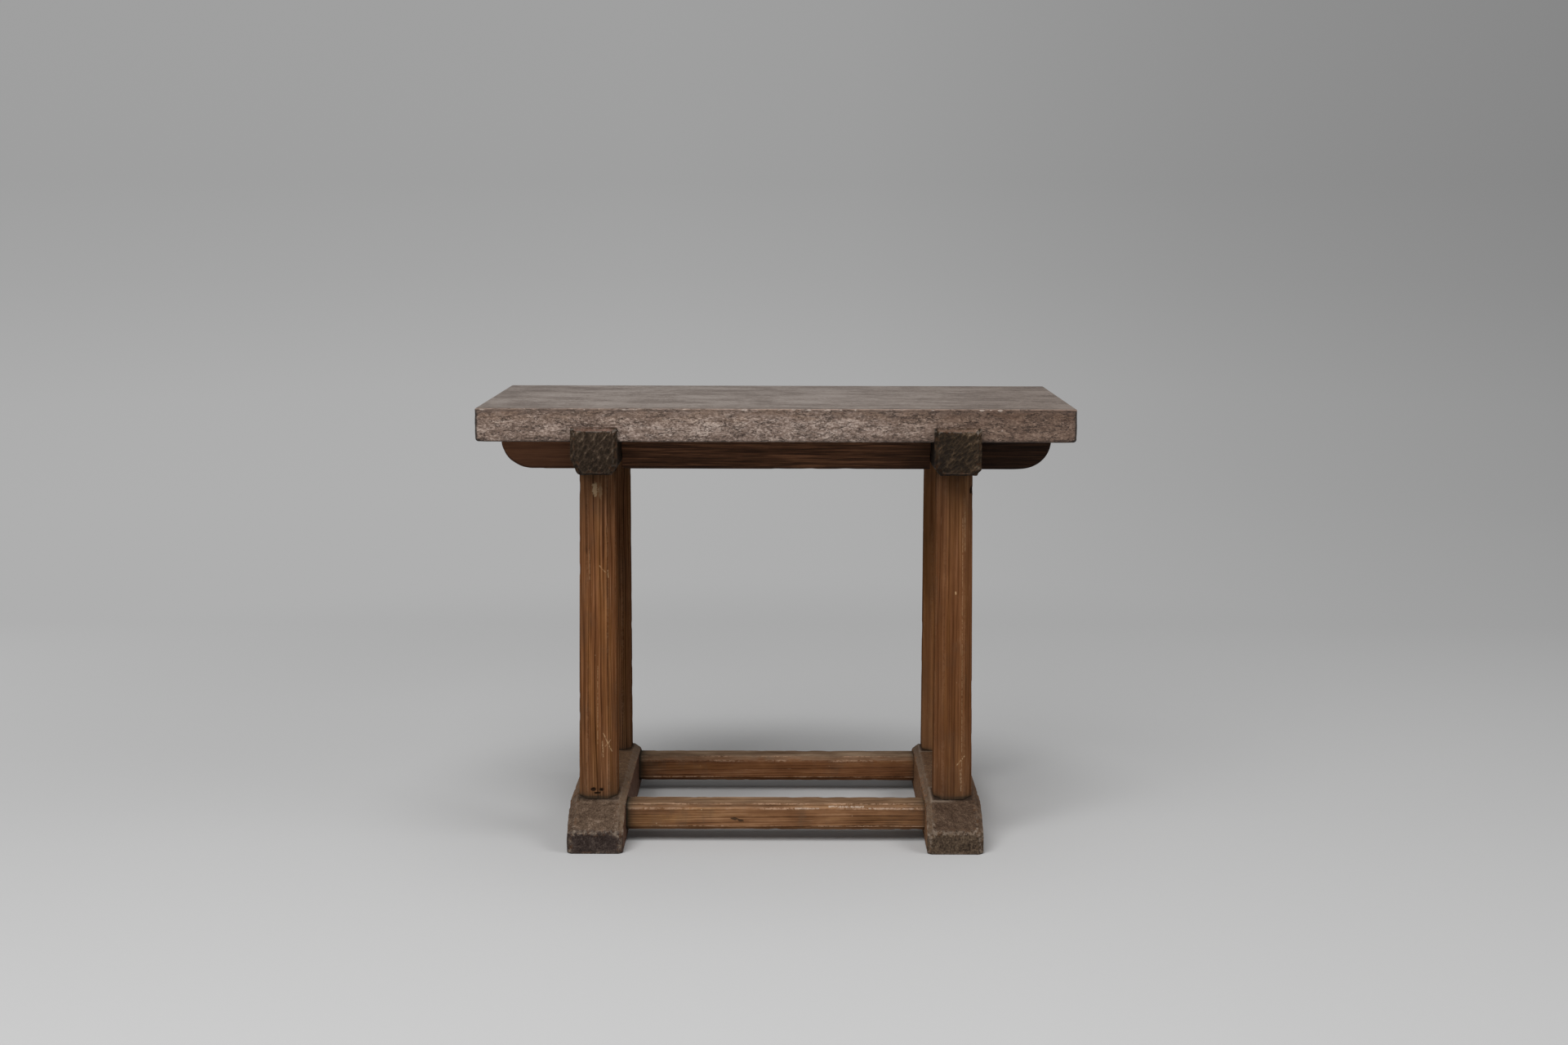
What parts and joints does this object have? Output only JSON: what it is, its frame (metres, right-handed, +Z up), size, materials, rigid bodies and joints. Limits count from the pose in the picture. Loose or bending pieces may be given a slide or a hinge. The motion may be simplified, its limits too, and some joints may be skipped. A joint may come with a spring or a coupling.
{
  "type": "trestle table",
  "caption": "Small trestle table: a thick stone slab on notched cross-beams and long rails, tapered wooden legs, sledge feet and low stretchers.",
  "frame": {"origin": "on the floor under the middle of the table", "axes": "+X along the slab's length, +Y towards the back, +Z up"},
  "size_m": [1.003, 0.5186, 0.75],
  "materials": {
    "limestone": "honed brown-mauve limestone with cloudy sawn edges",
    "carved_dark_wood": "dark stained wood, gouge-tooled, worn along the arrises",
    "dark_stained_pine": "very dark red-brown stained pine, satin",
    "stained_pine": "stained and waxed pine with a strong straight grain",
    "bare_hardwood": "bare hardwood"
  },
  "bodies": {
    "root": {"stone_top": "limestone", "cross_beam_left": "carved_dark_wood", "cross_beam_right": "carved_dark_wood", "top_rail_front": "dark_stained_pine", "top_rail_back": "dark_stained_pine", "leg_front_left": "stained_pine", "leg_front_right": "stained_pine", "leg_back_left": "stained_pine", "leg_back_right": "stained_pine", "foot_left": "carved_dark_wood", "foot_right": "carved_dark_wood", "stretcher_front": "stained_pine", "stretcher_back": "stained_pine", "beam_wedge_front_left": "bare_hardwood", "beam_wedge_front_right": "bare_hardwood", "beam_wedge_back_left": "bare_hardwood", "beam_wedge_back_right": "bare_hardwood", "foot_wedge_front_left": "bare_hardwood", "foot_wedge_front_right": "bare_hardwood", "foot_wedge_back_left": "bare_hardwood", "foot_wedge_back_right": "bare_hardwood", "lap_peg_front_left": "bare_hardwood", "lap_peg_front_right": "bare_hardwood", "lap_peg_back_left": "bare_hardwood", "lap_peg_back_right": "bare_hardwood"}
  },
  "joints": []
}
